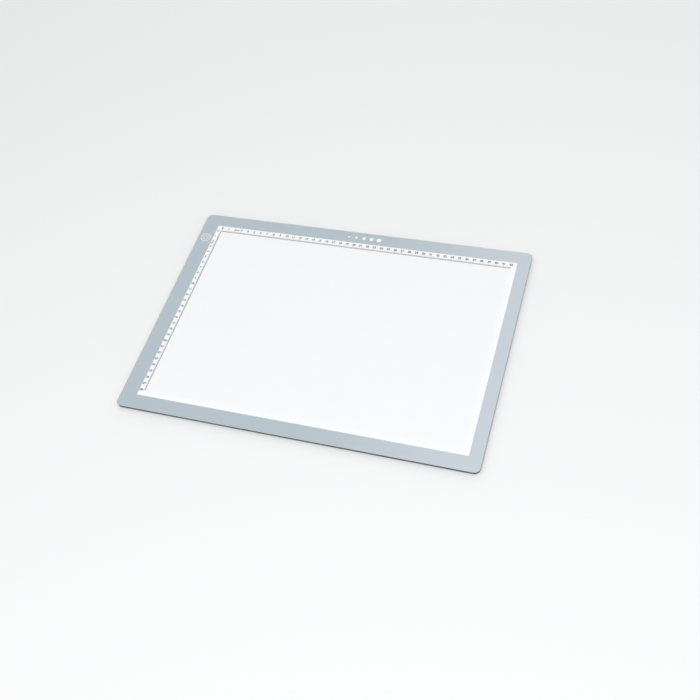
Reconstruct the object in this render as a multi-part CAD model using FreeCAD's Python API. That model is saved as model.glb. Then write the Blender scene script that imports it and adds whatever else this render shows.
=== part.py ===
"""Edge-lit drawing light pad for A3 paper, in millimetres.

A clear acrylic cover lies on a shallow back cover. Its underside carries the printed border with
the touch symbol. Under it lie a diffuser, an acrylic light guide and a reflector. Two flexible
circuits with side-firing lamps shine into the guide's long edges, and a small board in the left
margin holds the socket, the dimmer and the touch electrode.

The origin is the middle of the outline, on the surface that the feet stand on. +X runs along the
long side to the right, +Y runs to the rear edge, and +Z is up.
"""

import FreeCAD
import Part
import math
import os

# Outline and visible window
PAD_LENGTH = 475.0
PAD_DEPTH = 338.0
CORNER_RADIUS = 8.0
MARGIN_LEFT = 22.5
MARGIN_RIGHT = 17.0
MARGIN_REAR = 19.0
MARGIN_FRONT = 20.5

# Heights, from the table up
FOOT_DROP = 0.8
FLOOR_THICKNESS = 1.0
FILM_THICKNESS = 0.2
GUIDE_THICKNESS = 2.4
DIFFUSER_THICKNESS = 0.25
RIM_TOP = 4.75
TAPE_THICKNESS = 0.12
BORDER_INK = 0.10
SYMBOL_INK = 0.05
INK_GAP = 0.03
COVER_THICKNESS = 0.8
COVER_EDGE_BREAK = 0.2

# Back cover
SHELL_INSET = 0.25
WALL_THICKNESS = 1.8
SHELL_EDGE_RADIUS = 1.5
FOOT_RADIUS = 5.8
FOOT_POCKET_RADIUS = 6.0
FOOT_POCKET_DEPTH = 0.4
FOOT_EDGE_RADIUS = 0.3
FOOT_INSET = 30.0
GROOVE_INSET = 12.0
GROOVE_WIDTH = 1.2
GROOVE_DEPTH = 0.2
GROOVE_CORNER = 6.0
LABEL_LENGTH = 80.0
LABEL_DEPTH = 42.0
LABEL_CORNER = 3.0
PEG_RADIUS = 1.2
PEG_HEIGHT = 1.4
PEG_CLEARANCE = 0.15
PEG_SIDE_Y = 120.0
PEG_END_X = 150.0
PEG_LEFT_OFFSET = 2.0

# Light guide and its lamps
GUIDE_OVERLAP = 2.5
GUIDE_EDGE_BREAK = 0.15
CUSHION_THICKNESS = 0.8
CUSHION_END_GAP = 0.5
FLEX_WIDTH = 4.0
FLEX_UNDER_GUIDE = 0.3
TAIL_WIDTH = 4.0
TAIL_UNDER_BOARD = 3.0
LAMP_COUNT = 44
LAMP_LENGTH = 3.8
LAMP_DEPTH = 1.2
LAMP_HEIGHT = 1.2
LAMP_GAP = 0.1
LAMP_WALL = 0.25
PHOSPHOR_DEPTH = 0.4
PHOSPHOR_SINK = 0.05

# Centimetre scales, with their zero inside the window's rear left corner
SCALE_INSET_X = 8.0
SCALE_INSET_Y = 10.0
REAR_SCALE_CM = 42
LEFT_SCALE_CM = 28
SCALE_LINE = 0.5
TICK_WIDTH = 0.25
TICK_LENGTH = 3.2

# Touch symbol and brightness mark, printed in white
TOUCH_X = -225.8
TOUCH_Y = 125.0
TOUCH_RING_RADIUS = 7.4
TOUCH_RING_LINE = 0.9
POWER_RADIUS = 4.0
POWER_LINE = 1.0
POWER_GAP_DEGREES = 38.0
BAR_START = 1.4
BAR_END = 4.8
MARK_X = 4.0
MARK_PITCH = 11.0
MARK_RADII = (1.4, 1.9, 2.4, 2.9, 3.4)

# Light frame, and how far the layers on it stay back from its edges
FRAME_WALL = 1.6
FRAME_CLEARANCE = 0.2
BAY_CLEARANCE = 2.0
BAY_REAR_CLEARANCE = 1.5
CHANNEL_CLEARANCE = 0.5
CHANNEL_HEADROOM = 0.1
FILM_CLEARANCE = 0.2
TAPE_INSET = 0.8
TAPE_INNER = 1.0
BORDER_INSET = 0.4

# Control board, in the left margin
BOARD_LEFT = -234.9
BOARD_RIGHT = -220.3
BOARD_FRONT = 88.0
BOARD_REAR = 150.0
BOARD_THICKNESS = 0.8
BOARD_TAPE_INSET = 1.5
BOARD_TAPE_END = 6.0
BOARD_TAPE_SOCKET_GAP = 1.0
ELECTRODE_RADIUS = 5.2
ELECTRODE_THICKNESS = 0.05
TOUCH_FOAM_RADIUS = 4.8

# Parts on the board: centres in X and Y, then length, depth and height
CHIP_LEG_HEIGHT = 0.1
CHIP_LEG_REACH = 0.5
CHIP_LEG_INSET = 0.2
TOUCH_CHIP_PLACES = ((-226.0, 113.0),)
TOUCH_CHIP_SIZE = (1.7, 2.9, 1.1)
DIMMER_CHIP_PLACES = ((-226.5, 104.0),)
DIMMER_CHIP_SIZE = (3.9, 4.9, 1.2)
TRANSISTOR_PLACES = ((-224.0, 94.5), (-224.0, 142.0))
TRANSISTOR_SIZE = (1.4, 2.9, 1.0)
RESISTOR_PLACES = ((-229.0, 92.0), (-229.0, 95.0), (-229.5, 141.0), (-229.5, 144.0))
RESISTOR_SIZE = (3.2, 1.6, 0.55)
CAPACITOR_PLACES = ((-232.5, 108.0), (-232.5, 111.0), (-230.0, 113.5))
CAPACITOR_SIZE = (2.0, 1.2, 0.85)

# Micro-B socket, sunk into a notch of the board
USB_Y = 100.0
USB_WIDTH = 7.5
USB_HEIGHT = 2.45
USB_LENGTH = 5.5
USB_SHEET = 0.25
USB_FLOOR_GAP = 0.05
USB_CHAMFER = 0.8
USB_NOTCH_CLEARANCE = 0.3
TONGUE_WIDTH = 3.7
TONGUE_HEIGHT = 0.55
TONGUE_LENGTH = 3.9
CONTACT_COUNT = 5
CONTACT_PITCH = 0.65
CONTACT_WIDTH = 0.3
CONTACT_HEIGHT = 0.12
CONTACT_LENGTH = 2.4
USB_BLOCK_DEPTH = 1.2

# Derived heights
SHELL_BOTTOM = FOOT_DROP
FLOOR_TOP = SHELL_BOTTOM + FLOOR_THICKNESS
FILM_TOP = FLOOR_TOP + FILM_THICKNESS
GUIDE_TOP = FILM_TOP + GUIDE_THICKNESS
DIFFUSER_TOP = GUIDE_TOP + DIFFUSER_THICKNESS
TAPE_TOP = RIM_TOP + TAPE_THICKNESS
INK_TOP = TAPE_TOP + BORDER_INK
COVER_BOTTOM = INK_TOP + INK_GAP
COVER_TOP = COVER_BOTTOM + COVER_THICKNESS
BOARD_TOP = FILM_TOP + BOARD_THICKNESS

# Derived places
WINDOW_LEFT = -PAD_LENGTH / 2 + MARGIN_LEFT
WINDOW_RIGHT = PAD_LENGTH / 2 - MARGIN_RIGHT
WINDOW_FRONT = -PAD_DEPTH / 2 + MARGIN_FRONT
WINDOW_REAR = PAD_DEPTH / 2 - MARGIN_REAR
GUIDE_LEFT = WINDOW_LEFT - GUIDE_OVERLAP
GUIDE_RIGHT = WINDOW_RIGHT + GUIDE_OVERLAP
GUIDE_FRONT = WINDOW_FRONT - GUIDE_OVERLAP
GUIDE_REAR = WINDOW_REAR + GUIDE_OVERLAP
REAR_FLEX_FRONT = GUIDE_REAR - FLEX_UNDER_GUIDE
REAR_FLEX_REAR = REAR_FLEX_FRONT + FLEX_WIDTH
FRONT_FLEX_REAR = GUIDE_FRONT + FLEX_UNDER_GUIDE
FRONT_FLEX_FRONT = FRONT_FLEX_REAR - FLEX_WIDTH
TAIL_RIGHT = GUIDE_LEFT - CUSHION_THICKNESS - FRAME_WALL - BAY_CLEARANCE
TAIL_LEFT = TAIL_RIGHT - TAIL_WIDTH
BAY_RIGHT = GUIDE_LEFT - CUSHION_THICKNESS - FRAME_WALL
SCALE_X = WINDOW_LEFT + SCALE_INSET_X
SCALE_Y = WINDOW_REAR - SCALE_INSET_Y
MARK_Y = (WINDOW_REAR + PAD_DEPTH / 2) / 2
SHELL_X = PAD_LENGTH / 2 - SHELL_INSET
SHELL_Y = PAD_DEPTH / 2 - SHELL_INSET
CAVITY_X = SHELL_X - WALL_THICKNESS
CAVITY_Y = SHELL_Y - WALL_THICKNESS


def vec(x, y, z):
    return FreeCAD.Vector(x, y, z)


def block(x0, x1, y0, y1, z0, z1):
    """A box between two corners."""
    return Part.makeBox(x1 - x0, y1 - y0, z1 - z0, vec(x0, y0, z0))


def disc(x, y, radius, z0, z1):
    """An upright cylinder."""
    return Part.makeCylinder(radius, z1 - z0, vec(x, y, z0))


def is_upright(edge):
    """True for a straight edge that runs along Z."""
    ends = edge.Vertexes
    if len(ends) != 2:
        return False
    a, b = ends[0].Point, ends[1].Point
    return abs(a.x - b.x) < 1e-6 and abs(a.y - b.y) < 1e-6


def round_plate(x0, x1, y0, y1, z0, z1, radius):
    """A plate with rounded corners."""
    plate = block(x0, x1, y0, y1, z0, z1)
    corners = [edge for edge in plate.Edges if is_upright(edge)]
    return plate.makeFillet(radius, corners)


def edges_at(shape, z):
    """Edges that lie wholly at one height."""
    return [e for e in shape.Edges if all(abs(v.Z - z) < 1e-6 for v in e.Vertexes)]


def save(name, *solids):
    """Writes one node, which may hold several separate solids."""
    shape = solids[0] if len(solids) == 1 else Part.makeCompound(list(solids))
    for solid in shape.Solids:
        assert solid.isValid() and solid.Volume > 0, name
    shape.exportStep(os.path.join("parts", name + ".step"))
    print(name, len(shape.Solids), round(shape.Volume, 1))


def foot_places():
    """Feet near the four corners and in the middle of each side, by name."""
    x = PAD_LENGTH / 2 - FOOT_INSET
    y = PAD_DEPTH / 2 - FOOT_INSET
    return {
        "foot_front_left": (-x, -y),
        "foot_front_middle": (0.0, -y),
        "foot_front_right": (x, -y),
        "foot_middle_left": (-x, 0.0),
        "foot_middle_right": (x, 0.0),
        "foot_rear_left": (-x, y),
        "foot_rear_middle": (0.0, y),
        "foot_rear_right": (x, y),
    }


def peg_places():
    """Locating pegs that place the light frame on the back cover."""
    side_x = (GUIDE_RIGHT + CUSHION_THICKNESS + CAVITY_X) / 2
    end_y = (REAR_FLEX_REAR + CAVITY_Y) / 2
    places = [(side_x, y) for y in (-PEG_SIDE_Y, 0.0, PEG_SIDE_Y)]
    places += [(-side_x - PEG_LEFT_OFFSET, y) for y in (-PEG_SIDE_Y, 0.0)]
    places += [(x, sign * end_y) for x in (-PEG_END_X, 0.0, PEG_END_X) for sign in (-1, 1)]
    return places


def cover_panel():
    """Clear acrylic sheet with a polished edge break on its top."""
    x, y = PAD_LENGTH / 2, PAD_DEPTH / 2
    plate = round_plate(-x, x, -y, y, COVER_BOTTOM, COVER_TOP, CORNER_RADIUS)
    return plate.makeChamfer(COVER_EDGE_BREAK, edges_at(plate, COVER_TOP))


def touch_symbol():
    """A ring round a power sign: an open arc with a bar at its top."""
    z0, z1 = INK_TOP - SYMBOL_INK, INK_TOP
    ring = disc(TOUCH_X, TOUCH_Y, TOUCH_RING_RADIUS, z0, z1)
    ring = ring.cut(disc(TOUCH_X, TOUCH_Y, TOUCH_RING_RADIUS - TOUCH_RING_LINE, z0, z1))
    arc = disc(TOUCH_X, TOUCH_Y, POWER_RADIUS, z0, z1)
    arc = arc.cut(disc(TOUCH_X, TOUCH_Y, POWER_RADIUS - POWER_LINE, z0, z1))
    reach = 2 * POWER_RADIUS
    half = reach * math.tan(math.radians(POWER_GAP_DEGREES))
    corners = [(0, 0), (half, reach), (-half, reach), (0, 0)]
    wire = Part.makePolygon([vec(TOUCH_X + x, TOUCH_Y + y, z0) for x, y in corners])
    arc = arc.cut(Part.Face(wire).extrude(vec(0, 0, z1 - z0)))
    half_bar = POWER_LINE / 2
    bar = block(TOUCH_X - half_bar, TOUCH_X + half_bar, TOUCH_Y + BAR_START, TOUCH_Y + BAR_END, z0, z1)
    return [ring, arc, bar]


def brightness_mark():
    """Five dots that grow from dim to bright."""
    z0, z1 = INK_TOP - SYMBOL_INK, INK_TOP
    middle = (len(MARK_RADII) - 1) / 2
    return [
        disc(MARK_X + (i - middle) * MARK_PITCH, MARK_Y, radius, z0, z1)
        for i, radius in enumerate(MARK_RADII)
    ]


def printed_border(symbols):
    """Ink layer under the cover, open at the window and holding the white symbols."""
    x, y = PAD_LENGTH / 2 - BORDER_INSET, PAD_DEPTH / 2 - BORDER_INSET
    z0, z1 = TAPE_TOP, INK_TOP
    ink = round_plate(-x, x, -y, y, z0, z1, CORNER_RADIUS - BORDER_INSET)
    ink = ink.cut(block(WINDOW_LEFT, WINDOW_RIGHT, WINDOW_FRONT, WINDOW_REAR, z0, z1))
    return ink.cut(Part.makeCompound(symbols))


def scale_print():
    """The base lines of both scales as one L, with a tick at each centimetre."""
    z0, z1 = INK_TOP - SYMBOL_INK, INK_TOP
    half = TICK_WIDTH / 2
    right = SCALE_X + 10 * REAR_SCALE_CM + half
    front = SCALE_Y - 10 * LEFT_SCALE_CM - half
    lines = [
        block(SCALE_X, right, SCALE_Y - SCALE_LINE, SCALE_Y, z0, z1),
        block(SCALE_X, SCALE_X + SCALE_LINE, front, SCALE_Y - SCALE_LINE, z0, z1),
    ]
    for cm in range(REAR_SCALE_CM + 1):
        x = SCALE_X + 10 * cm
        lines.append(block(max(x - half, SCALE_X), x + half, SCALE_Y, SCALE_Y + TICK_LENGTH, z0, z1))
    for cm in range(LEFT_SCALE_CM + 1):
        y = SCALE_Y - 10 * cm
        lines.append(block(SCALE_X - TICK_LENGTH, SCALE_X, y - half, min(y + half, SCALE_Y), z0, z1))
    return lines[0].fuse(lines[1:]).removeSplitter()


def diffuser_sheet():
    return block(GUIDE_LEFT, GUIDE_RIGHT, GUIDE_FRONT, GUIDE_REAR, GUIDE_TOP, DIFFUSER_TOP)


def light_guide():
    """Acrylic sheet with a small break along its edges."""
    plate = block(GUIDE_LEFT, GUIDE_RIGHT, GUIDE_FRONT, GUIDE_REAR, FILM_TOP, GUIDE_TOP)
    return plate.makeChamfer(GUIDE_EDGE_BREAK, [edge for edge in plate.Edges if is_upright(edge)])


def reflector_sheet():
    """White film under the guide, stopping short of the lamp circuits."""
    front, rear = FRONT_FLEX_REAR + FILM_CLEARANCE, REAR_FLEX_FRONT - FILM_CLEARANCE
    return block(GUIDE_LEFT, GUIDE_RIGHT, front, rear, FLOOR_TOP, FILM_TOP)


def cushion(x0):
    """Foam strip between the guide's short edge and the light frame. It ends short of the circuits."""
    front, rear = GUIDE_FRONT + CUSHION_END_GAP, GUIDE_REAR - CUSHION_END_GAP
    return block(x0, x0 + CUSHION_THICKNESS, front, rear, FLOOR_TOP, GUIDE_TOP)


def adhesive_frame():
    """Double-sided tape that holds the cover on the rim and on the light frame."""
    x, y = SHELL_X - TAPE_INSET, SHELL_Y - TAPE_INSET
    tape = round_plate(-x, x, -y, y, RIM_TOP, TAPE_TOP, CORNER_RADIUS - SHELL_INSET - TAPE_INSET)
    left, right = GUIDE_LEFT - TAPE_INNER, GUIDE_RIGHT + TAPE_INNER
    inner = block(left, right, FRONT_FLEX_FRONT, REAR_FLEX_REAR, RIM_TOP, TAPE_TOP)
    bay = block(-CAVITY_X, GUIDE_LEFT, BOARD_FRONT - BAY_CLEARANCE, REAR_FLEX_REAR, RIM_TOP, TAPE_TOP)
    return tape.cut(inner).cut(bay)


def light_frame():
    """White moulded frame round the guide, with a bay for the board and channels for the flex tails."""
    x, y = CAVITY_X - FRAME_CLEARANCE, CAVITY_Y - FRAME_CLEARANCE
    radius = CORNER_RADIUS - SHELL_INSET - WALL_THICKNESS - FRAME_CLEARANCE
    frame = round_plate(-x, x, -y, y, FLOOR_TOP, RIM_TOP, radius)
    bay_rear = REAR_FLEX_REAR + BAY_REAR_CLEARANCE
    cuts = [
        block(
            GUIDE_LEFT - CUSHION_THICKNESS,
            GUIDE_RIGHT + CUSHION_THICKNESS,
            FRONT_FLEX_FRONT - FRAME_CLEARANCE,
            REAR_FLEX_REAR + FRAME_CLEARANCE,
            FLOOR_TOP,
            RIM_TOP,
        ),
        block(-CAVITY_X, BAY_RIGHT, BOARD_FRONT - BAY_CLEARANCE, bay_rear, FLOOR_TOP, RIM_TOP),
    ]
    channel_top = FILM_TOP + CHANNEL_HEADROOM
    left = TAIL_LEFT - CHANNEL_CLEARANCE
    front_start, rear_start = FRONT_FLEX_FRONT - CHANNEL_CLEARANCE, REAR_FLEX_FRONT - CHANNEL_CLEARANCE
    side = (left, TAIL_RIGHT + CHANNEL_CLEARANCE, front_start, BOARD_FRONT)
    cuts.append(block(*side, FLOOR_TOP, channel_top))
    front = (left, GUIDE_LEFT, front_start, FRONT_FLEX_REAR + CHANNEL_CLEARANCE)
    cuts.append(block(*front, FLOOR_TOP, channel_top))
    rear = (left, GUIDE_LEFT, rear_start, REAR_FLEX_REAR + CHANNEL_CLEARANCE)
    cuts.append(block(*rear, FLOOR_TOP, channel_top))
    for px, py in peg_places():
        hole_top = FLOOR_TOP + PEG_HEIGHT + PEG_CLEARANCE
        cuts.append(disc(px, py, PEG_RADIUS + PEG_CLEARANCE, FLOOR_TOP, hole_top))
    for cut in cuts:
        frame = frame.cut(cut)
    return frame


def rear_led_flex():
    """Flat circuit along the guide's rear edge, with a tail that turns under the board."""
    strip = block(TAIL_LEFT, GUIDE_RIGHT, REAR_FLEX_FRONT, REAR_FLEX_REAR, FLOOR_TOP, FILM_TOP)
    tail_end = BOARD_REAR - TAIL_UNDER_BOARD
    tail = block(TAIL_LEFT, TAIL_RIGHT, tail_end, REAR_FLEX_REAR, FLOOR_TOP, FILM_TOP)
    return strip.fuse(tail).removeSplitter()


def front_led_flex():
    """Flat circuit along the guide's front edge, with a tail along the left margin to the board."""
    strip = block(TAIL_LEFT, GUIDE_RIGHT, FRONT_FLEX_FRONT, FRONT_FLEX_REAR, FLOOR_TOP, FILM_TOP)
    tail_end = BOARD_FRONT + TAIL_UNDER_BOARD
    tail = block(TAIL_LEFT, TAIL_RIGHT, FRONT_FLEX_FRONT, tail_end, FLOOR_TOP, FILM_TOP)
    return strip.fuse(tail).removeSplitter()


def lamp_columns():
    """The left end of each lamp along a circuit."""
    pitch = (GUIDE_RIGHT - GUIDE_LEFT) / LAMP_COUNT
    start = GUIDE_LEFT + (pitch - LAMP_LENGTH) / 2
    return [start + i * pitch for i in range(LAMP_COUNT)]


def lamps(face_y, away):
    """Side-firing lamps whose mouths lie at face_y. away is +1 where the body lies behind it in Y."""
    bodies, fills = [], []
    z0, z1 = FILM_TOP, FILM_TOP + LAMP_HEIGHT
    for x in lamp_columns():
        back = face_y + away * LAMP_DEPTH
        body = block(x, x + LAMP_LENGTH, min(face_y, back), max(face_y, back), z0, z1)
        mouth = face_y + away * PHOSPHOR_DEPTH
        inside = (x + LAMP_WALL, x + LAMP_LENGTH - LAMP_WALL)
        heights = (z0 + LAMP_WALL, z1 - LAMP_WALL)
        body = body.cut(block(*inside, min(face_y, mouth), max(face_y, mouth), *heights))
        skin = face_y + away * PHOSPHOR_SINK
        fills.append(block(*inside, min(skin, mouth), max(skin, mouth), *heights))
        bodies.append(body)
    return bodies, fills


def back_cover():
    """Shallow tray with a rounded lower edge, foot pockets, pegs and a notch for the socket."""
    outer_radius = CORNER_RADIUS - SHELL_INSET
    shell = round_plate(-SHELL_X, SHELL_X, -SHELL_Y, SHELL_Y, SHELL_BOTTOM, RIM_TOP, outer_radius)
    shell = shell.makeFillet(SHELL_EDGE_RADIUS, edges_at(shell, SHELL_BOTTOM))
    radius = CORNER_RADIUS - SHELL_INSET - WALL_THICKNESS
    shell = shell.cut(round_plate(-CAVITY_X, CAVITY_X, -CAVITY_Y, CAVITY_Y, FLOOR_TOP, RIM_TOP + 1, radius))
    pocket_top = SHELL_BOTTOM + FOOT_POCKET_DEPTH
    for x, y in foot_places().values():
        shell = shell.cut(disc(x, y, FOOT_POCKET_RADIUS, SHELL_BOTTOM - 1, pocket_top))
    groove_x, groove_y = PAD_LENGTH / 2 - GROOVE_INSET, PAD_DEPTH / 2 - GROOVE_INSET
    groove_top = SHELL_BOTTOM + GROOVE_DEPTH
    below = SHELL_BOTTOM - 1
    groove = round_plate(-groove_x, groove_x, -groove_y, groove_y, below, groove_top, GROOVE_CORNER)
    inner_x, inner_y = groove_x - GROOVE_WIDTH, groove_y - GROOVE_WIDTH
    inner_corner = GROOVE_CORNER - GROOVE_WIDTH
    island = round_plate(-inner_x, inner_x, -inner_y, inner_y, below, groove_top, inner_corner)
    shell = shell.cut(groove.cut(island))
    half_x, half_y = LABEL_LENGTH / 2, LABEL_DEPTH / 2
    shell = shell.cut(round_plate(-half_x, half_x, -half_y, half_y, below, groove_top, LABEL_CORNER))
    half_notch = USB_WIDTH / 2 + USB_NOTCH_CLEARANCE
    shell = shell.cut(
        block(-SHELL_X - 1, -CAVITY_X + 1, USB_Y - half_notch, USB_Y + half_notch, FLOOR_TOP, RIM_TOP + 1)
    )
    for x, y in peg_places():
        shell = shell.fuse(disc(x, y, PEG_RADIUS, FLOOR_TOP, FLOOR_TOP + PEG_HEIGHT))
    return shell.removeSplitter()


def foot(x, y):
    """Rubber disc, set into its pocket, with a softened rim."""
    pad = disc(x, y, FOOT_RADIUS, 0.0, SHELL_BOTTOM + FOOT_POCKET_DEPTH)
    return pad.makeFillet(FOOT_EDGE_RADIUS, edges_at(pad, 0.0))


def control_board():
    """Circuit board with a notch that the socket sinks into."""
    board = block(BOARD_LEFT, BOARD_RIGHT, BOARD_FRONT, BOARD_REAR, FILM_TOP, BOARD_TOP)
    half_notch = USB_WIDTH / 2 + USB_NOTCH_CLEARANCE
    back = -SHELL_X + USB_LENGTH + USB_NOTCH_CLEARANCE
    return board.cut(block(BOARD_LEFT, back, USB_Y - half_notch, USB_Y + half_notch, FILM_TOP, BOARD_TOP))


def board_tape():
    """Foam tape that holds the board on the floor, between the two flex tails."""
    x0, x1 = -SHELL_X + USB_LENGTH + BOARD_TAPE_SOCKET_GAP, BOARD_RIGHT - BOARD_TAPE_INSET
    return block(x0, x1, BOARD_FRONT + BOARD_TAPE_END, BOARD_REAR - BOARD_TAPE_END, FLOOR_TOP, FILM_TOP)


def chips(places, size):
    """Moulded chips on the board, each on a thin slab that stands for its two rows of legs."""
    length, depth, height = size
    half_x, half_y = length / 2, depth / 2
    leg_x, leg_y = half_x + CHIP_LEG_REACH, half_y - CHIP_LEG_INSET
    seat = BOARD_TOP + CHIP_LEG_HEIGHT
    made = []
    for x, y in places:
        body = block(x - half_x, x + half_x, y - half_y, y + half_y, seat, BOARD_TOP + height)
        legs = block(x - leg_x, x + leg_x, y - leg_y, y + leg_y, BOARD_TOP, seat)
        made.append(body.fuse(legs))
    return made


def passives(places, size):
    """Small ceramic blocks that stand on the board."""
    length, depth, height = size
    half_x, half_y = length / 2, depth / 2
    top = BOARD_TOP + height
    return [block(x - half_x, x + half_x, y - half_y, y + half_y, BOARD_TOP, top) for x, y in places]


def usb_profile(grow, x):
    """The socket's D-shaped section, with its two lower corners cut off."""
    half = USB_WIDTH / 2 + grow
    bottom = FLOOR_TOP + USB_FLOOR_GAP - grow
    top = FLOOR_TOP + USB_FLOOR_GAP + USB_HEIGHT + grow
    corners = [
        (-half, top),
        (-half, bottom + USB_CHAMFER),
        (-half + USB_CHAMFER, bottom),
        (half - USB_CHAMFER, bottom),
        (half, bottom + USB_CHAMFER),
        (half, top),
    ]
    return Part.makePolygon([vec(x, USB_Y + y, z) for y, z in corners + corners[:1]])


def usb_shell():
    """Folded steel shell, open at its mouth."""
    outer = Part.Face(usb_profile(0.0, -SHELL_X)).extrude(vec(USB_LENGTH, 0, 0))
    inner = Part.Face(usb_profile(-USB_SHEET, -SHELL_X)).extrude(vec(USB_LENGTH - USB_SHEET, 0, 0))
    return outer.cut(inner)


def usb_heights():
    """Bottom and top of the socket's tongue, which lies in the upper half of the mouth."""
    middle = FLOOR_TOP + USB_FLOOR_GAP + USB_HEIGHT / 2
    return middle, middle + TONGUE_HEIGHT


def usb_tongue():
    """Moulded block at the back of the socket, with the thin tongue that carries the contacts."""
    back = -SHELL_X + USB_LENGTH - USB_SHEET
    block_front = back - USB_BLOCK_DEPTH
    bottom, top = usb_heights()
    half = USB_WIDTH / 2 - USB_SHEET - USB_CHAMFER
    base_bottom = FLOOR_TOP + USB_FLOOR_GAP + USB_SHEET
    base_top = FLOOR_TOP + USB_FLOOR_GAP + USB_HEIGHT - USB_SHEET
    base = block(block_front, back, USB_Y - half, USB_Y + half, base_bottom, base_top)
    half_tongue = TONGUE_WIDTH / 2
    blade = block(back - TONGUE_LENGTH, block_front, USB_Y - half_tongue, USB_Y + half_tongue, bottom, top)
    return base.fuse(blade).removeSplitter()


def usb_contacts():
    """Five gilt strips under the tongue."""
    bottom = usb_heights()[0]
    back = -SHELL_X + USB_LENGTH - USB_SHEET - USB_BLOCK_DEPTH
    middle = (CONTACT_COUNT - 1) / 2
    strips = []
    for i in range(CONTACT_COUNT):
        y = USB_Y + (i - middle) * CONTACT_PITCH - CONTACT_WIDTH / 2
        z0 = bottom - CONTACT_HEIGHT
        strips.append(block(back - CONTACT_LENGTH, back, y, y + CONTACT_WIDTH, z0, bottom))
    return strips


def build_top():
    """The cover with everything printed on it."""
    symbol, mark = touch_symbol(), brightness_mark()
    save("cover_panel", cover_panel())
    save("touch_symbol", *symbol)
    save("brightness_mark", *mark)
    save("printed_border", printed_border(symbol + mark))
    save("scale_print", scale_print())
    save("adhesive_frame", adhesive_frame())


def build_light():
    """The sheets, their frame and the lamps."""
    save("diffuser_sheet", diffuser_sheet())
    save("light_guide", light_guide())
    save("reflector_sheet", reflector_sheet())
    save("light_frame", light_frame())
    save("guide_cushion_left", cushion(GUIDE_LEFT - CUSHION_THICKNESS))
    save("guide_cushion_right", cushion(GUIDE_RIGHT))
    save("rear_led_flex", rear_led_flex())
    save("front_led_flex", front_led_flex())
    for name, face_y, away in (("rear", GUIDE_REAR + LAMP_GAP, 1), ("front", GUIDE_FRONT - LAMP_GAP, -1)):
        bodies, fills = lamps(face_y, away)
        save(name + "_leds", *bodies)
        save(name + "_led_phosphor", *fills)


def build_electronics():
    """The board and what is on it."""
    save("control_board", control_board())
    save("board_tape", board_tape())
    electrode_top = BOARD_TOP + ELECTRODE_THICKNESS
    save("touch_electrode", disc(TOUCH_X, TOUCH_Y, ELECTRODE_RADIUS, BOARD_TOP, electrode_top))
    save("touch_foam", disc(TOUCH_X, TOUCH_Y, TOUCH_FOAM_RADIUS, electrode_top, TAPE_TOP))
    save("touch_chip", *chips(TOUCH_CHIP_PLACES, TOUCH_CHIP_SIZE))
    save("dimmer_chip", *chips(DIMMER_CHIP_PLACES, DIMMER_CHIP_SIZE))
    save("driver_transistors", *chips(TRANSISTOR_PLACES, TRANSISTOR_SIZE))
    save("ballast_resistors", *passives(RESISTOR_PLACES, RESISTOR_SIZE))
    save("filter_capacitors", *passives(CAPACITOR_PLACES, CAPACITOR_SIZE))
    save("usb_shell", usb_shell())
    save("usb_tongue", usb_tongue())
    save("usb_contacts", *usb_contacts())


def build_case():
    """The back cover and its feet."""
    save("back_cover", back_cover())
    for name, (x, y) in foot_places().items():
        save(name, foot(x, y))


def main():
    os.makedirs("parts", exist_ok=True)
    build_top()
    build_light()
    build_electronics()
    build_case()


main()
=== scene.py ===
"""The looks of an edge-lit A3 drawing light pad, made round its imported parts.

Everything is in metres, in the part's own frame: +X to the right along the long side, +Y to the rear
edge, and +Z up. The pad stands on its feet at a height of zero.
"""

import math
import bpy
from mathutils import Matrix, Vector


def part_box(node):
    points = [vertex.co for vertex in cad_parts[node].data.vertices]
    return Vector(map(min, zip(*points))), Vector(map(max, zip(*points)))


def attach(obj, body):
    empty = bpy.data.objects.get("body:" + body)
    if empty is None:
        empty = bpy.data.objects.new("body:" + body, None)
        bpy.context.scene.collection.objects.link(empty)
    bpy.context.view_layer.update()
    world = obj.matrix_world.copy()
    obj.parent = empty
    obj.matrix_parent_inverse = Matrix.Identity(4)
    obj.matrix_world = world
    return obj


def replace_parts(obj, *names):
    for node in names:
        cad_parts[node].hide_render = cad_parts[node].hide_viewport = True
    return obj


bl_info = {
    "name": "Drawing Light Pad",
    "version": (1, 0, 0),
    "blender": (4, 5, 0),
    "location": "3D View > Sidebar > Light Pad",
    "description": "Gives a drawing light pad its scales, feet, finishes and a plain studio",
    "category": "Object",
}

import bmesh
import bpy
from bpy.props import FloatProperty, FloatVectorProperty, IntProperty, PointerProperty
from mathutils import Matrix, Vector

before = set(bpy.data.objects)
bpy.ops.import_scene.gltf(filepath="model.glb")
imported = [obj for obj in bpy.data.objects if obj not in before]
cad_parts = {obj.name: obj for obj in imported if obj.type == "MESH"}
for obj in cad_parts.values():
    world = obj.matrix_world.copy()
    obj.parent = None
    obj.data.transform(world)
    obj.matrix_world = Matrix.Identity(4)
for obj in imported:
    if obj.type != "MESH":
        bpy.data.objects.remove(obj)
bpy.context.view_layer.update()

MM = 0.001
BODY = "root"
FEET = sorted(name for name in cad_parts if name.startswith("foot_"))

WELD = 0.001 * MM
CHIP_ROUNDING = 0.06 * MM
CAP_ROUNDING = 0.04 * MM
CAP_STEP = 0.02 * MM
LEG_REACH = 0.5 * MM
LEG_SEAT = 0.1 * MM
LEG_SHEET = 0.14 * MM
LEG_END_ROOM = 0.4 * MM
LEG_WIDTH_SHARE = 0.38
LEG_FOOT_SHARE = 0.6
LEG_ARM_SHARE = 1.2
KNEE_SHARE = 0.45
FINE_PITCH = 0.95 * MM
WIDE_PITCH = 1.27 * MM
FOOT_SHOULDER = 0.4 * MM
SHOULDER_STEPS = 5
FOOT_SIDES = 64
FLAT_FACE = 0.98
LETTER_HEIGHT = 0.7
LETTER_WEIGHT = 0.042
CM_WORD_HEIGHT = 0.8


# Sizes and colours


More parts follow.
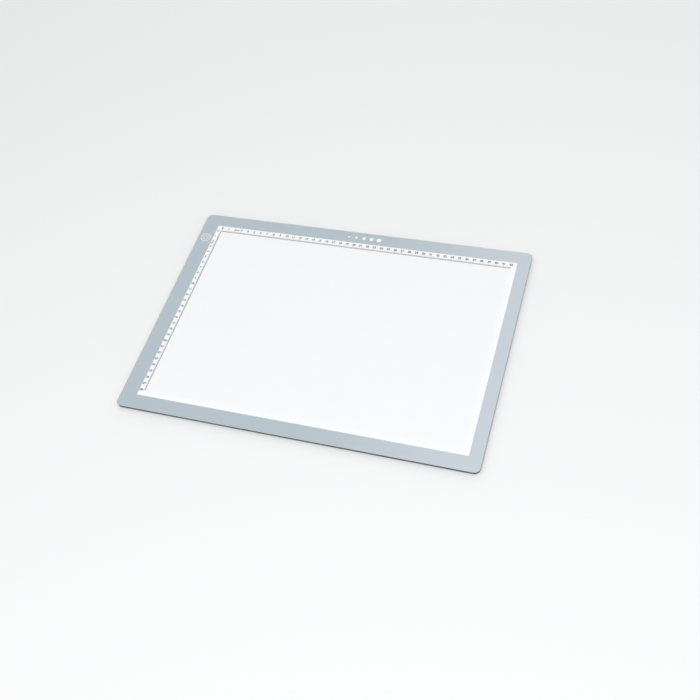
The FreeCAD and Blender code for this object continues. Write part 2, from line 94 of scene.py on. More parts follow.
def length(name, description, default):
    """A property that holds a length in metres."""
    return FloatProperty(
        name=name, description=description, default=default, precision=5, subtype="DISTANCE", unit="LENGTH"
    )


def colour(name, description, default):
    """A property that holds a linear colour."""
    return FloatVectorProperty(
        name=name, description=description, default=default, size=3, min=0.0, max=1.0, subtype="COLOR"
    )


def position(name, description, default):
    """A property that holds a place in metres."""
    return FloatVectorProperty(
        name=name, description=description, default=default, size=3, precision=5,
        subtype="TRANSLATION", unit="LENGTH",
    )


class PadSizes(bpy.types.PropertyGroup):
    """Sizes of what is printed and moulded on the pad."""

    guide_overlap: length("Guide overlap", "How far the diffuser reaches under the border", 2.5 * MM)
    scale_inset_x: length("Scale inset across", "From the window's left side to the zero line", 8.0 * MM)
    scale_inset_y: length("Scale inset back", "From the window's rear side to the rear scale", 10.0 * MM)
    rear_centimetres: IntProperty(name="Rear scale", description="Centimetres on the rear scale", default=42)
    left_centimetres: IntProperty(name="Left scale", description="Centimetres on the left scale", default=28)
    line_width: length("Base line", "Width of a scale's base line", 0.50 * MM)
    tick_width: length("Tick width", "Width of a tick", 0.25 * MM)
    tick_millimetre: length("Millimetre tick", "Length of a millimetre tick", 1.7 * MM)
    tick_half: length("Half tick", "Length of a five millimetre tick", 2.2 * MM)
    tick_centimetre: length("Centimetre tick", "Length of a centimetre tick", 3.2 * MM)
    rear_numeral: length("Rear numerals", "Height of the rear scale's numerals", 3.4 * MM)
    left_numeral: length("Left numerals", "Height of the left scale's numerals", 3.1 * MM)
    rear_numeral_gap: length("Rear numeral place", "From the base line to the numerals' middle", 5.9 * MM)
    left_numeral_gap: length("Left numeral place", "From the base line to the numerals' middle", 5.4 * MM)
    rear_unit_step: length("Rear unit", "From the 2 of the rear scale to its unit", 4.0 * MM)
    left_unit_step: length("Left unit", "From the 2 of the left scale to its unit", 3.4 * MM)
    ink_thickness: length("Ink thickness", "Thickness of the scales' ink", 0.03 * MM)
    foot_groove: length("Foot groove", "Depth of the grip grooves under a foot", 0.14 * MM)


class PadColours(bpy.types.PropertyGroup):
    """Colours of the pad's finishes, and how bright it shines."""

    border_left: colour("Border, left", "Back print at the left side", (0.44, 0.513, 0.565))
    # The right colour and where it starts make a painted highlight: the border is painted lighter towards
    # its right side.
    border_right: colour("Border, right", "Back print at the right side", (0.56, 0.61, 0.67))
    border_change: FloatProperty(
        name="Border change", description="Share of the length where the border starts to lighten",
        default=0.5,
    )
    white_ink: colour("White ink", "Touch symbol and brightness mark", (0.93, 0.95, 0.96))
    black_ink: colour("Scale ink", "Lines and numerals of the scales", (0.045, 0.04, 0.04))
    back_plastic: colour("Back cover", "Moulded back cover", (0.038, 0.043, 0.048))
    rubber: colour("Feet", "Rubber of the feet", (0.03, 0.03, 0.032))
    film: colour("Diffuser", "Frosted film in daylight", (0.62, 0.63, 0.64))
    glow: colour("Glow", "Colour of the lit window", (1.0, 1.0, 1.0))
    glow_strength: FloatProperty(name="Glow strength", description="Brightness of the window", default=0.36)


class PadStage(bpy.types.PropertyGroup):
    """Floor, lights and camera."""

    floor_size: length("Floor", "Side of the floor", 12.0)
    floor_colour: colour("Floor colour", "Pale floor", (0.86, 0.865, 0.87))
    fade_start: length("Fade start", "How far out the floor begins to fade into the backdrop", 1.2)
    fade_end: length("Fade end", "How far out the floor has become the backdrop", 4.2)
    fade_lift: FloatProperty(name="Fade lift", description="Light that the far floor gains", default=0.34)
    sky_strength: FloatProperty(name="Sky", description="Strength of the even light", default=0.58)
    backdrop: FloatProperty(name="Backdrop", description="Brightness of the far background", default=0.9)
    front_power: FloatProperty(name="Front light", description="Power of the light in front", default=52.0)
    rear_power: FloatProperty(name="Rear light", description="Power of the low light behind", default=14.0)
    light_size: length("Light size", "Side of each soft light", 1.6)
    front_place: position("Front light place", "Where the front light hangs", (0.5, -1.5, 2.6))
    rear_place: position("Rear light place", "Where the rear light hangs", (-0.7, 2.8, 1.0))
    camera_place: position("Camera place", "Where the camera stands", (0.37973, -0.68526, 0.99451))
    camera_turn: FloatVectorProperty(
        name="Camera turn", description="How the camera is turned",
        default=(math.radians(36.068), math.radians(8.433), math.radians(16.839)), size=3,
        precision=5, subtype="EULER", unit="ROTATION",
    )
    camera_lens: FloatProperty(name="Lens", description="Focal length in millimetres", default=49.545)
    camera_shift: FloatProperty(
        name="Shift", description="Sideways shift of the lens", default=0.01214, precision=5
    )


# Shader maths


class Socket:
    """A number in a shader. Python's operators add the Math nodes that work on it."""

    def __init__(self, shader, link):
        self.shader = shader
        self.link = link

    def maths(self, operation, *others):
        values = dict(enumerate((self, *others)))
        return self.shader.node("ShaderNodeMath", {"operation": operation}, values)[0]

    def __add__(self, other):
        return self.maths("ADD", other)

    def __sub__(self, other):
        return self.maths("SUBTRACT", other)

    def __mul__(self, other):
        return self.maths("MULTIPLY", other)

    def __lt__(self, other):
        return self.maths("LESS_THAN", other)

    def __gt__(self, other):
        return self.maths("GREATER_THAN", other)

    def __abs__(self):
        return self.maths("ABSOLUTE")

    def __rsub__(self, other):
        return self.shader.node("ShaderNodeMath", {"operation": "SUBTRACT"}, {0: other, 1: self})[0]

    __radd__ = __add__
    __rmul__ = __mul__

    def least(self, other):
        return self.maths("MINIMUM", other)

    def most(self, other):
        return self.maths("MAXIMUM", other)

    def fraction(self):
        return self.maths("FRACT")

    def smooth(self, start, end):
        """Rises from 0 at start to 1 at end."""
        settings = {"interpolation_type": "SMOOTHSTEP"}
        values = {"Value": self, "From Min": start, "From Max": end, "To Min": 0.0, "To Max": 1.0}
        return self.shader.node("ShaderNodeMapRange", settings, values)[0]


class Shader:
    """The node tree of a material or of the world."""

    def __init__(self, tree):
        self.tree = tree
        tree.nodes.clear()

    def node(self, kind, settings=None, values=None):
        """Adds a node: its settings first, then its sockets. Gives its outputs in order."""
        made = self.tree.nodes.new(kind)
        for name, value in (settings or {}).items():
            setattr(made, name, value)
        for key, value in (values or {}).items():
            if isinstance(value, Socket):
                self.tree.links.new(value.link, made.inputs[key])
            else:
                made.inputs[key].default_value = value
        return [Socket(self, output) for output in made.outputs]

    def place(self):
        """Object coordinates, as a vector and as three numbers."""
        vector = self.node("ShaderNodeTexCoord")[3]
        return vector, self.node("ShaderNodeSeparateXYZ", values={0: vector})

    def noise(self, scale, detail=2.0, stretch=(1.0, 1.0, 1.0)):
        """Cloudy noise from 0 to 1, with scale in cycles for each metre."""
        vector = self.node("ShaderNodeMapping", values={"Vector": self.place()[0], "Scale": stretch})[0]
        values = {"Vector": vector, "Scale": scale, "Detail": detail}
        return self.node("ShaderNodeTexNoise", values=values)[0]

    def cells(self, scale):
        """Distance to the nearest of many scattered points."""
        values = {"Vector": self.place()[0], "Scale": scale}
        return self.node("ShaderNodeTexVoronoi", values=values)[0]

    def mix(self, factor, first, second):
        """Goes from the first colour to the second."""
        settings = {"data_type": "RGBA"}
        values = {0: factor, 6: opaque(first), 7: opaque(second)}
        return self.node("ShaderNodeMix", settings, values)[2]

    def bump(self, height, depth):
        """A normal that follows height, which is from 0 to 1, over a depth in metres."""
        return self.node("ShaderNodeBump", values={"Strength": 1.0, "Distance": depth, "Height": height})[0]

    def surface(self, base, roughness, normal=None, **constants):
        """A Principled surface. constants are its other sockets, with spaces written as underscores."""
        values = {"Base Color": opaque(base), "Roughness": roughness}
        values.update({name.replace("_", " "): value for name, value in constants.items()})
        if normal is not None:
            values["Normal"] = normal
        return self.node("ShaderNodeBsdfPrincipled", values=values)[0]

    def finish(self, surface):
        self.node("ShaderNodeOutputMaterial", values={"Surface": surface})


def opaque(value):
    """A colour with its alpha, or a link as it is."""
    return value if isinstance(value, Socket) else (*value[:3], 1.0)


def shade(value, factor):
    """A colour made lighter or darker."""
    return tuple(min(1.0, part * factor) for part in value)


def material(name):
    """A new material and its shader."""
    made = bpy.data.materials.new(name)
    made.use_nodes = True
    return made, Shader(made.node_tree)


# Finishes


def moulded(name, base, grain=2000.0, depth=0.035 * MM, rough=(0.38, 0.62), spread=0.16):
    """Spark-eroded moulded plastic, with a fine grain and faint clouds of colour."""
    made, shader = material(name)
    clouds = shader.noise(28.0, 3.0)
    fine = shader.noise(grain, 2.0)
    tone = shader.mix(clouds * 0.7 + fine * 0.3, shade(base, 1 - spread), shade(base, 1 + spread))
    roughness = rough[0] + fine * (rough[1] - rough[0])
    shader.finish(shader.surface(tone, roughness, shader.bump(fine, depth)))
    return made


def foam(name, base):
    """Closed-cell foam, with pinholes on its skin."""
    made, shader = material(name)
    cells = shader.cells(1800.0)
    tone = shader.mix(cells.smooth(0.1, 0.6), shade(base, 0.6), shade(base, 1.4))
    shader.finish(shader.surface(tone, 0.9, shader.bump(cells, 0.08 * MM)))
    return made


def rubber(name, base):
    """Soft black rubber, with a dusty bloom."""
    made, shader = material(name)
    bloom = shader.noise(160.0, 4.0)
    fine = shader.noise(5200.0, 2.0)
    tone = shader.mix(bloom.smooth(0.45, 0.85), base, shade(base, 1.7))
    shader.finish(shader.surface(tone, 0.62 + fine * 0.2, shader.bump(fine, 0.015 * MM)))
    return made


def metal(name, base, stretch, rough=0.28):
    """Plated or rolled metal, with fine drawn lines and a faint tarnish."""
    made, shader = material(name)
    lines = shader.noise(3000.0, 2.0, stretch)
    tarnish = shader.noise(240.0, 4.0)
    tone = shader.mix(tarnish.smooth(0.4, 0.8), base, shade(base, 0.72))
    roughness = rough + lines * 0.14
    shader.finish(shader.surface(tone, roughness, shader.bump(lines, 0.004 * MM), Metallic=1.0))
    return made


def ink(name, base, rough=0.45):
    """Screen-printed ink, with a slightly uneven coat."""
    made, shader = material(name)
    coat = shader.noise(900.0, 3.0)
    tone = shader.mix(coat, shade(base, 0.94), shade(base, 1.05))
    shader.finish(shader.surface(tone, rough + coat * 0.1, shader.bump(coat, 0.003 * MM)))
    return made


def border_print(name, left, right, change):
    """Blue-grey back print with a very fine pearl grain. From change to the right it is painted lighter, a
    painted highlight that stands in for a soft reflection.
    """
    made, shader = material(name)
    low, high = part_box("printed_border")
    start = low.x + change * (high.x - low.x)
    # Painted highlight: the print is painted lighter from start to the right side.
    across = shader.place()[1][0].smooth(start, high.x)
    pearl = shader.noise(5200.0, 2.0)
    clouds = shader.noise(9.0, 2.0)
    tone = shader.mix(across, left, right)
    tone = shader.mix(clouds * 0.10, tone, shade(left, 0.85))
    tone = shader.mix(pearl.smooth(0.55, 0.8) * 0.16, tone, shade(right, 1.2))
    shader.finish(shader.surface(tone, 0.36 + pearl * 0.12, shader.bump(pearl, 0.003 * MM)))
    return made


def clear_acrylic(name):
    """Polished acrylic with faint wiping marks. Light falls through it on what lies beneath."""
    made, shader = material(name)
    wiping = shader.noise(60.0, 4.0, (1.0, 5.0, 1.0))
    tone = shader.mix(wiping, (0.97, 0.985, 0.99), (1.0, 1.0, 1.0))
    glass = shader.surface(tone, 0.07 + wiping * 0.05, IOR=1.49, Transmission_Weight=1.0)
    clear = shader.node("ShaderNodeBsdfTransparent")[0]
    paths = shader.node("ShaderNodeLightPath")
    is_shadow, is_diffuse = paths[1], paths[2]
    seen = shader.node("ShaderNodeMixShader", values={0: is_diffuse, 1: glass, 2: clear})[0]
    shader.finish(shader.node("ShaderNodeMixShader", values={0: is_shadow, 1: seen, 2: clear})[0])
    return made


def guide_acrylic(name):
    """Acrylic light guide, with the printed dots that send its light upwards."""
    made, shader = material(name)
    dots = shader.cells(420.0) < 0.22
    tone = shader.mix(dots, (0.93, 0.98, 0.97), (1.0, 1.0, 1.0))
    shader.finish(shader.surface(tone, 0.04 + dots * 0.4, IOR=1.49, Transmission_Weight=0.9))
    return made


def diffuser(name, base, glow, strength):
    """Frosted film, lit from below, and a little brighter near the window's sides."""
    made, shader = material(name)
    low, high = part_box("diffuser_sheet")
    x, y, _ = shader.place()[1]
    side_x = (x - low.x).least(high.x - x)
    side_y = (y - low.y).least(high.y - y)
    near_side = 1 - side_x.least(side_y).smooth(2 * MM, 15 * MM)
    frost = shader.noise(3000.0, 2.0)
    tone = shader.mix(frost, shade(base, 0.98), shade(base, 1.02))
    light = shader.mix(near_side, shade(glow, 0.86), glow)
    values = {"Emission_Color": light, "Emission_Strength": strength}
    shader.finish(shader.surface(tone, 0.55 + frost * 0.2, shader.bump(frost, 0.01 * MM), **values))
    return made


def lamp_fill(name, base):
    """Yellow resin in a lamp's mouth, lit from inside."""
    made, shader = material(name)
    grain = shader.noise(3800.0, 2.0)
    tone = shader.mix(grain, shade(base, 0.9), shade(base, 1.1))
    light = shader.mix(grain, (1.0, 0.96, 0.86), (1.0, 1.0, 0.97))
    shader.finish(shader.surface(tone, 0.3, Emission_Color=light, Emission_Strength=3.0))
    return made


def flexible_circuit(name, mask, copper):
    """White solder mask over copper tracks, which show as faint raised stripes."""
    made, shader = material(name)
    x, y, _ = shader.place()[1]
    stripes = (abs((y * 1250.0).fraction() - 0.5) < 0.22) * (abs((x * 100.0).fraction() - 0.5) > 0.06)
    fine = shader.noise(1600.0, 2.0)
    tone = shader.mix(stripes * 0.35 + fine * 0.08, mask, copper)
    shader.finish(shader.surface(tone, 0.4 + fine * 0.1, shader.bump(stripes, 0.02 * MM)))
    return made


def board_laminate(name, mask, track):
    """Green solder mask with lighter tracks, and a glass weave that barely shows."""
    made, shader = material(name)
    x, y, _ = shader.place()[1]
    bands = abs((x * 520.0).fraction() - 0.5) < 0.14
    gaps = (y * 90.0).fraction() > 0.2
    rungs = abs((y * 260.0).fraction() - 0.5) < 0.07
    tracks = (bands * gaps).most(rungs * (1 - gaps))
    weave = shader.noise(1400.0, 1.0, (1.0, 0.3, 1.0))
    tone = shader.mix(tracks * 0.8 + weave * 0.12, mask, track)
    height = tracks * 0.8 + weave * 0.2
    shader.finish(shader.surface(tone, 0.28 + weave * 0.12, shader.bump(height, 0.03 * MM)))
    return made


def paint(node, finish):
    """Gives a carried-over part its finish."""
    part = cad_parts[node]
    part.data.materials.clear()
    part.data.materials.append(finish)
    return part


# Making pieces


def piece(name, shape, finish):
    """Turns a bmesh into a finished piece that rides on the pad."""
    mesh = bpy.data.meshes.new(name)
    shape.to_mesh(mesh)
    shape.free()
    made = bpy.data.objects.new(name, mesh)
    bpy.context.scene.collection.objects.link(made)
    mesh.materials.append(finish)
    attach(made, BODY)
    return made


def add_bar(shape, low, high):
    """Adds a box between two corners."""
    centre = Matrix.Translation((low + high) / 2)
    size = Matrix.Diagonal((*(high - low), 1.0))
    bmesh.ops.create_cube(shape, size=1.0, matrix=centre @ size)


def add_text(shape, text, size, place, thickness):
    """Adds a word or numeral of a given height, with its middle at a place. It reads from the front.

    LETTER_HEIGHT is how high a digit is at a font size of one.
    """
    curve = bpy.data.curves.new("numeral", "FONT")
    curve.body = text
    curve.size = size / LETTER_HEIGHT
    curve.align_x = "CENTER"
    curve.align_y = "CENTER"
    curve.resolution_u = 3
    curve.offset = LETTER_WEIGHT * size
    curve.extrude = thickness / 2
    carrier = bpy.data.objects.new("numeral", curve)
    mesh = bpy.data.meshes.new_from_object(carrier)
    mesh.transform(Matrix.Translation(place))
    shape.from_mesh(mesh)
    bpy.data.objects.remove(carrier)
    bpy.data.curves.remove(curve)
    bpy.data.meshes.remove(mesh)


def solid_boxes(node):
    """The lowest and highest corner of each separate solid in a node, from left to right."""
    shape = bmesh.new()
    shape.from_mesh(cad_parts[node].data)
    bmesh.ops.remove_doubles(shape, verts=shape.verts, dist=WELD)
    left, boxes = set(shape.verts), []
    while left:
        group, edge = set(), [left.pop()]
        while edge:
            vertex = edge.pop()
            group.add(vertex)
            near = {link.other_vert(vertex) for link in vertex.link_edges} & left
            left -= near
            edge += near
        places = [vertex.co for vertex in group]
        boxes.append((Vector(map(min, *places)), Vector(map(max, *places))))
    shape.free()
    return sorted(boxes, key=lambda box: tuple(box[0]))


def soften(shape, radius):
    """Rounds every edge of a shape a little."""
    bmesh.ops.bevel(
        shape, geom=list(shape.edges), offset=radius, offset_type="OFFSET", affect="EDGES", segments=2,
        profile=0.5, material=-1,
    )


def chip_body(boxes):
    """Softened resin bodies, raised on their legs."""
    shape = bmesh.new()
    for low, high in boxes:
        add_bar(shape, low + Vector((LEG_REACH, 0, LEG_SEAT)), high - Vector((LEG_REACH, 0, 0)))
    soften(shape, CHIP_ROUNDING)
    return shape


def chip_legs(boxes, pitch):
    """Bent legs along both sides of each body: a foot on the board and a knee into the resin."""
    shape = bmesh.new()
    width = LEG_WIDTH_SHARE * pitch
    step_in, knee_in = LEG_FOOT_SHARE * LEG_REACH, LEG_ARM_SHARE * LEG_REACH
    for low, high in boxes:
        count = max(2, int((high.y - low.y - LEG_END_ROOM) / pitch))
        first = (low.y + high.y) / 2 - (count - 1) * pitch / 2
        knee = low.z + KNEE_SHARE * (high.z - low.z)
        for step in range(count):
            front = first + step * pitch - width / 2
            for side, way in ((low.x, 1), (high.x, -1)):
                foot = sorted((side, side + way * step_in))
                rise = sorted((side + way * step_in, side + way * (step_in + LEG_SHEET)))
                arm = sorted((side + way * (step_in + LEG_SHEET), side + way * knee_in))
                spans = (
                    (foot, low.z, low.z + LEG_SHEET),
                    (rise, low.z, knee + LEG_SHEET),
                    (arm, knee, knee + LEG_SHEET),
                )
                for (start, end), bottom, top in spans:
                    add_bar(shape, Vector((start, front, bottom)), Vector((end, front + width, top)))
    return shape


def end_caps(boxes, share):
    """Tinned caps that wrap both ends of each part."""
    shape = bmesh.new()
    for low, high in boxes:
        cap = share * (high.x - low.x)
        add_bar(shape, low, Vector((low.x + cap, high.y, high.z)))
        add_bar(shape, Vector((high.x - cap, low.y, low.z)), high)
    soften(shape, CAP_ROUNDING)
    return shape


def middles(boxes, share):
    """The part of each box between its caps, a little lower and narrower than they are."""
    shape = bmesh.new()
    for low, high in boxes:
        cap = share * (high.x - low.x)
        add_bar(shape, low + Vector((cap, CAP_STEP, 0)), high - Vector((cap, CAP_STEP, CAP_STEP)))
    return shape


def scale_zero(sizes):
    """Where the two scales meet, at the middle of the ink's height."""
    window_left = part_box("diffuser_sheet")[0].x + sizes.guide_overlap
    window_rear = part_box("diffuser_sheet")[1].y - sizes.guide_overlap
    ink_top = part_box("printed_border")[1].z
    height = ink_top - sizes.ink_thickness / 2
    return Vector((window_left + sizes.scale_inset_x, window_rear - sizes.scale_inset_y, height))


def scale_lines(sizes, centimetres, along, outward):
    """A base line with a tick at every millimetre. along and outward are the scale's directions."""
    shape = bmesh.new()
    zero = scale_zero(sizes)
    half_ink = Vector((0, 0, sizes.ink_thickness / 2))
    half_tick = sizes.tick_width / 2

    def bar(start, end, near, far):
        """A bar from start to end along the scale, and from near to far outwards."""
        ends = [zero + along * start + outward * near, zero + along * end + outward * far]
        low = Vector(map(min, *ends)) - half_ink
        high = Vector(map(max, *ends)) + half_ink
        add_bar(shape, low, high)

    bar(-half_tick, centimetres * 10 * MM + half_tick, -sizes.line_width, 0.0)
    for step in range(centimetres * 10 + 1):
        reach = sizes.tick_millimetre
        if step % 5 == 0:
            reach = sizes.tick_half
        if step % 10 == 0:
            reach = sizes.tick_centimetre
        bar(step * MM - half_tick, step * MM + half_tick, 0.0, reach)
    return shape


def scale_numerals(sizes, centimetres, along, outward, height, gap, unit_place):
    """Upright numerals beside each centimetre, and the unit beside the second."""
    shape = bmesh.new()
    zero = scale_zero(sizes)
    for number in range(centimetres + 1):
        place = zero + along * number * 10 * MM + outward * gap
        add_text(shape, str(number), height, place, sizes.ink_thickness)
    place = zero + along * 20 * MM + outward * gap + unit_place
    add_text(shape, "cm", CM_WORD_HEIGHT * height, place, sizes.ink_thickness)
    return shape


def foot_profile(radius, bottom, top, groove):
    """Half of a foot's section: a dimple, two grip grooves, a round shoulder and a flat top.

    The first number of each point is a share of the radius.
    """
    points = [(0.0, bottom + groove), (0.16, bottom + groove), (0.20, bottom)]
    for start in (0.42, 0.66):
        points += [(start, bottom), (start + 0.02, bottom + groove)]
        points += [(start + 0.07, bottom + groove), (start + 0.09, bottom)]
    for step in range(SHOULDER_STEPS + 1):
        angle = math.pi / 2 * step / SHOULDER_STEPS
        inner = 1.0 - FOOT_SHOULDER / radius * (1 - math.sin(angle))
        points.append((inner, bottom + FOOT_SHOULDER * (1 - math.cos(angle))))
    points += [(1.0, top), (0.0, top)]
    return [(share * radius, height) for share, height in points]


def foot_shape(node, groove):
    """A turned rubber foot that stands where the node says."""
    low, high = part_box(node)
    centre = (low + high) / 2
    radius = (high.x - low.x) / 2
    shape = bmesh.new()
    points = foot_profile(radius, low.z, high.z, groove)
    ring = [shape.verts.new((centre.x + reach, centre.y, height)) for reach, height in points]
    edges = [shape.edges.new(pair) for pair in zip(ring, ring[1:])]
    bmesh.ops.spin(
        shape, geom=ring + edges, cent=(centre.x, centre.y, 0.0), axis=(0.0, 0.0, 1.0),
        angle=2 * math.pi, steps=FOOT_SIDES, use_merge=True,
    )
    bmesh.ops.remove_doubles(shape, verts=shape.verts, dist=WELD)
    bmesh.ops.recalc_face_normals(shape, faces=shape.faces)
    return shape


# Operators


class PADLOOK_OT_cover(bpy.types.Operator):
    """Gives the cover its clear acrylic"""

    bl_idname = "padlook.cover"
    bl_label = "Clear Cover"

    def execute(self, context):
        paint("cover_panel", clear_acrylic("clear_acrylic"))
        return {"FINISHED"}


class PADLOOK_OT_print(bpy.types.Operator):
    """Gives the border, the touch symbol and the mark their inks"""

    bl_idname = "padlook.print"
    bl_label = "Back Print"

    def execute(self, context):
        colours = context.scene.pad_colours
        # right and change set the painted highlight on the border's right side.
        left, right, change = colours.border_left, colours.border_right, colours.border_change
        paint("printed_border", border_print("border_ink", left, right, change))
        white = ink("white_ink", colours.white_ink)
        paint("touch_symbol", white)
        paint("brightness_mark", white)
        return {"FINISHED"}


class PADLOOK_OT_scales(bpy.types.Operator):
    """Prints the two centimetre scales with their numerals"""

    bl_idname = "padlook.scales"
    bl_label = "Centimetre Scales"

    def execute(self, context):
        sizes = context.scene.pad_sizes
        black = ink("scale_ink", context.scene.pad_colours.black_ink, 0.5)
        right, front = Vector((1, 0, 0)), Vector((0, -1, 0))
        rear, left = -front, -right
        rear_count, left_count = sizes.rear_centimetres, sizes.left_centimetres
        lines = scale_lines(sizes, rear_count, right, rear)
        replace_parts(piece("rear_scale_lines", lines, black), "scale_print")
        lines = scale_lines(sizes, left_count, front, left)
        piece("left_scale_lines", lines, black)
        height, gap, unit = sizes.rear_numeral, sizes.rear_numeral_gap, right * sizes.rear_unit_step
        numerals = scale_numerals(sizes, rear_count, right, rear, height, gap, unit)
        piece("rear_numerals", numerals, black)
        height, gap, unit = sizes.left_numeral, sizes.left_numeral_gap, front * sizes.left_unit_step
        numerals = scale_numerals(sizes, left_count, front, left, height, gap, unit)
        piece("left_numerals", numerals, black)
        return {"FINISHED"}


class PADLOOK_OT_light(bpy.types.Operator):
    """Finishes the diffuser, the light guide, the reflector and what holds them"""

    bl_idname = "padlook.light"
    bl_label = "Light Sheets"

    def execute(self, context):
        colours = context.scene.pad_colours
        paint("diffuser_sheet", diffuser("diffuser_film", colours.film, colours.glow, colours.glow_strength))
        paint("light_guide", guide_acrylic("guide_acrylic"))
        white_film = moulded("white_film", (0.88, 0.88, 0.88), 900.0, 0.004 * MM, (0.3, 0.4), 0.02)
        paint("reflector_sheet", white_film)
        paint("light_frame", moulded("white_moulding", (0.8, 0.8, 0.78), spread=0.03))
        tape = moulded("mounting_tape", (0.76, 0.76, 0.73), 1500.0, 0.03 * MM, (0.7, 0.85), 0.05)
        paint("adhesive_frame", tape)
        paint("board_tape", tape)
        black_foam = foam("black_foam", (0.035, 0.035, 0.035))
        paint("guide_cushion_left", black_foam)
        paint("guide_cushion_right", black_foam)
        return {"FINISHED"}


class PADLOOK_OT_lamps(bpy.types.Operator):
    """Finishes the lamp circuits, the lamps and their resin"""

    bl_idname = "padlook.lamps"
    bl_label = "Lamps"

    def execute(self, context):
        circuit = flexible_circuit("flex_circuit", (0.84, 0.83, 0.78), (0.62, 0.42, 0.22))
        body = moulded("lamp_body", (0.84, 0.84, 0.81), 3200.0, 0.008 * MM, (0.35, 0.5), 0.03)
        fill = lamp_fill("phosphor", (0.88, 0.72, 0.16))
        for side in ("rear", "front"):
            paint(side + "_led_flex", circuit)
            paint(side + "_leds", body)
            paint(side + "_led_phosphor", fill)
        return {"FINISHED"}


class PADLOOK_OT_board(bpy.types.Operator):
    """Finishes the control board and what stands on it"""

    bl_idname = "padlook.board"
    bl_label = "Control Board"

    def execute(self, context):
        paint("control_board", board_laminate("board_laminate", (0.010, 0.085, 0.035), (0.035, 0.20, 0.075)))
        paint("touch_electrode", metal("copper_pad", (0.72, 0.36, 0.18), (1.0, 0.1, 1.0)))
        paint("touch_foam", foam("conductive_foam", (0.10, 0.10, 0.11)))
        resin = moulded("chip_resin", (0.022, 0.022, 0.024), 6000.0, 0.006 * MM, (0.4, 0.6), 0.2)
        tin = metal("tinned_copper", (0.70, 0.70, 0.68), (0.4, 1.0, 1.0), 0.3)
        pitches = {"touch_chip": FINE_PITCH, "dimmer_chip": WIDE_PITCH, "driver_transistors": FINE_PITCH}
        for node, pitch in pitches.items():
            boxes = solid_boxes(node)
            body = piece(node + "_body", chip_body(boxes), resin)
            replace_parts(body, node)
            piece(node + "_legs", chip_legs(boxes, pitch), tin)
        black = moulded("resistor_black", (0.03, 0.03, 0.035), 5000.0, 0.004 * MM, (0.25, 0.4))
        tan = moulded("capacitor_ceramic", (0.33, 0.22, 0.13), 5000.0, 0.004 * MM, (0.4, 0.55))
        resistors = ("ballast_resistors", black, "resistor_black", 0.15)
        capacitors = ("filter_capacitors", tan, "capacitor_ceramic", 0.24)
        for node, finish, slot, share in (resistors, capacitors):
            boxes = solid_boxes(node)
            body = piece(node + "_middles", middles(boxes, share), finish)
            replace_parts(body, node)
            piece(node + "_caps", end_caps(boxes, share), tin)
        return {"FINISHED"}


class PADLOOK_OT_socket(bpy.types.Operator):
    """Finishes the power socket"""

    bl_idname = "padlook.socket"
    bl_label = "Power Socket"

    def execute(self, context):
        paint("usb_shell", metal("socket_steel", (0.68, 0.68, 0.66), (0.06, 1.0, 1.0)))
        paint("usb_tongue", moulded("black_moulding", (0.02, 0.02, 0.02), 6000.0, 0.004 * MM, (0.4, 0.5)))
        paint("usb_contacts", metal("gilt", (0.83, 0.60, 0.22), (0.1, 1.0, 1.0), 0.2))
        return {"FINISHED"}


class PADLOOK_OT_case(bpy.types.Operator):
    """Finishes the back cover and turns the eight feet"""

    bl_idname = "padlook.case"
    bl_label = "Back Cover and Feet"

    def execute(self, context):
        colours = context.scene.pad_colours
        paint("back_cover", moulded("back_plastic", colours.back_plastic))
        black = rubber("foot_rubber", colours.rubber)
        for node in FEET:
            shape = foot_shape(node, context.scene.pad_sizes.foot_groove)
            foot = piece("rubber_" + node, shape, black)
            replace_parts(foot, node)
            for face in foot.data.polygons:
                face.use_smooth = abs(face.normal.z) < FLAT_FACE
        return {"FINISHED"}


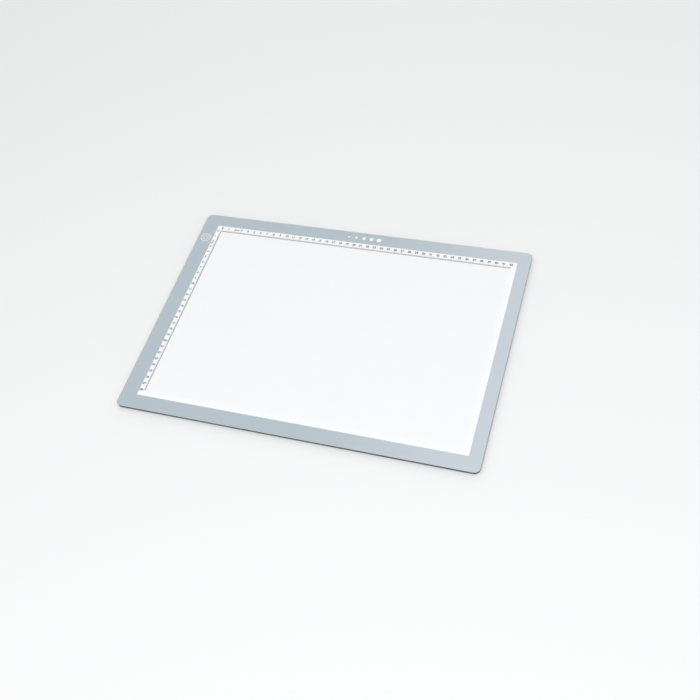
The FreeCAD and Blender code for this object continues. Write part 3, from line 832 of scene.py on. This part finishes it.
class PADLOOK_OT_stage(bpy.types.Operator):
    """Sets the pale floor, the soft lights and the camera"""

    bl_idname = "padlook.stage"
    bl_label = "Studio"

    def execute(self, context):
        stage = context.scene.pad_stage
        context.scene.view_settings.view_transform = "Standard"
        self.lay_floor(context, stage)
        self.light_sky(context, stage)
        self.light_key(context, stage)
        self.place_camera(context, stage)
        return {"FINISHED"}

    def lay_floor(self, context, stage):
        shape = bmesh.new()
        bmesh.ops.create_grid(shape, x_segments=1, y_segments=1, size=stage.floor_size / 2)
        mesh = bpy.data.meshes.new("floor")
        shape.to_mesh(mesh)
        shape.free()
        floor = bpy.data.objects.new("floor", mesh)
        context.scene.collection.objects.link(floor)
        made, shader = material("pale_floor")
        x, y, _ = shader.place()[1]
        far = (x * x + y * y).smooth(stage.fade_start ** 2, stage.fade_end ** 2)
        lift = shader.mix(far, (0.0, 0.0, 0.0), (stage.fade_lift,) * 3)
        shader.finish(shader.surface(stage.floor_colour, 0.9, Emission_Color=lift, Emission_Strength=1.0))
        mesh.materials.append(made)

    def light_sky(self, context, stage):
        world = bpy.data.worlds.new("soft_sky")
        world.use_nodes = True
        context.scene.world = world
        shader = Shader(world.node_tree)
        white = (1.0, 1.0, 1.0, 1.0)
        sky = shader.node("ShaderNodeBackground", values={"Color": white, "Strength": stage.sky_strength})[0]
        seen = shader.node("ShaderNodeBackground", values={"Color": white, "Strength": stage.backdrop})[0]
        is_camera = shader.node("ShaderNodeLightPath")[0]
        both = shader.node("ShaderNodeMixShader", values={0: is_camera, 1: sky, 2: seen})[0]
        shader.node("ShaderNodeOutputWorld", values={"Surface": both})

    def light_key(self, context, stage):
        """A broad light above the front, and a low one behind that draws a faint shadow forwards."""
        front = ("front_light", stage.front_power, stage.front_place)
        rear = ("rear_light", stage.rear_power, stage.rear_place)
        for name, power, place in (front, rear):
            lamp = bpy.data.lights.new(name, "AREA")
            lamp.energy = power
            lamp.size = stage.light_size
            light = bpy.data.objects.new(name, lamp)
            light.location = place
            light.visible_glossy = False
            light.rotation_euler = (-light.location).to_track_quat("-Z", "Y").to_euler()
            context.scene.collection.objects.link(light)

    def place_camera(self, context, stage):
        lens = bpy.data.cameras.new("camera")
        lens.lens = stage.camera_lens
        lens.shift_x = stage.camera_shift
        lens.clip_start = 0.01
        camera = bpy.data.objects.new("camera", lens)
        camera.location = stage.camera_place
        camera.rotation_euler = stage.camera_turn
        context.scene.collection.objects.link(camera)
        context.scene.camera = camera


class PADLOOK_PT_panel(bpy.types.Panel):
    """Lists what makes the light pad's looks"""

    bl_idname = "PADLOOK_PT_panel"
    bl_label = "Light Pad"
    bl_space_type = "VIEW_3D"
    bl_region_type = "UI"
    bl_category = "Light Pad"

    def draw(self, context):
        for operator in OPERATORS:
            self.layout.operator(operator.bl_idname)
        for group in (context.scene.pad_sizes, context.scene.pad_colours, context.scene.pad_stage):
            for name in group.__annotations__:
                self.layout.prop(group, name)


OPERATORS = (
    PADLOOK_OT_stage,
    PADLOOK_OT_cover,
    PADLOOK_OT_print,
    PADLOOK_OT_scales,
    PADLOOK_OT_light,
    PADLOOK_OT_lamps,
    PADLOOK_OT_board,
    PADLOOK_OT_socket,
    PADLOOK_OT_case,
)
GROUPS = {"pad_sizes": PadSizes, "pad_colours": PadColours, "pad_stage": PadStage}


def register():
    for made in (*GROUPS.values(), *OPERATORS, PADLOOK_PT_panel):
        bpy.utils.register_class(made)
    for name, group in GROUPS.items():
        setattr(bpy.types.Scene, name, PointerProperty(type=group))


def unregister():
    for name in GROUPS:
        delattr(bpy.types.Scene, name)
    for made in reversed((*GROUPS.values(), *OPERATORS, PADLOOK_PT_panel)):
        bpy.utils.unregister_class(made)


def main():
    register()
    bpy.ops.padlook.stage()
    bpy.ops.padlook.cover()
    bpy.ops.padlook.print()
    bpy.ops.padlook.scales()
    bpy.ops.padlook.light()
    bpy.ops.padlook.lamps()
    bpy.ops.padlook.board()
    bpy.ops.padlook.socket()
    bpy.ops.padlook.case()


if __name__ == "__main__":
    main()
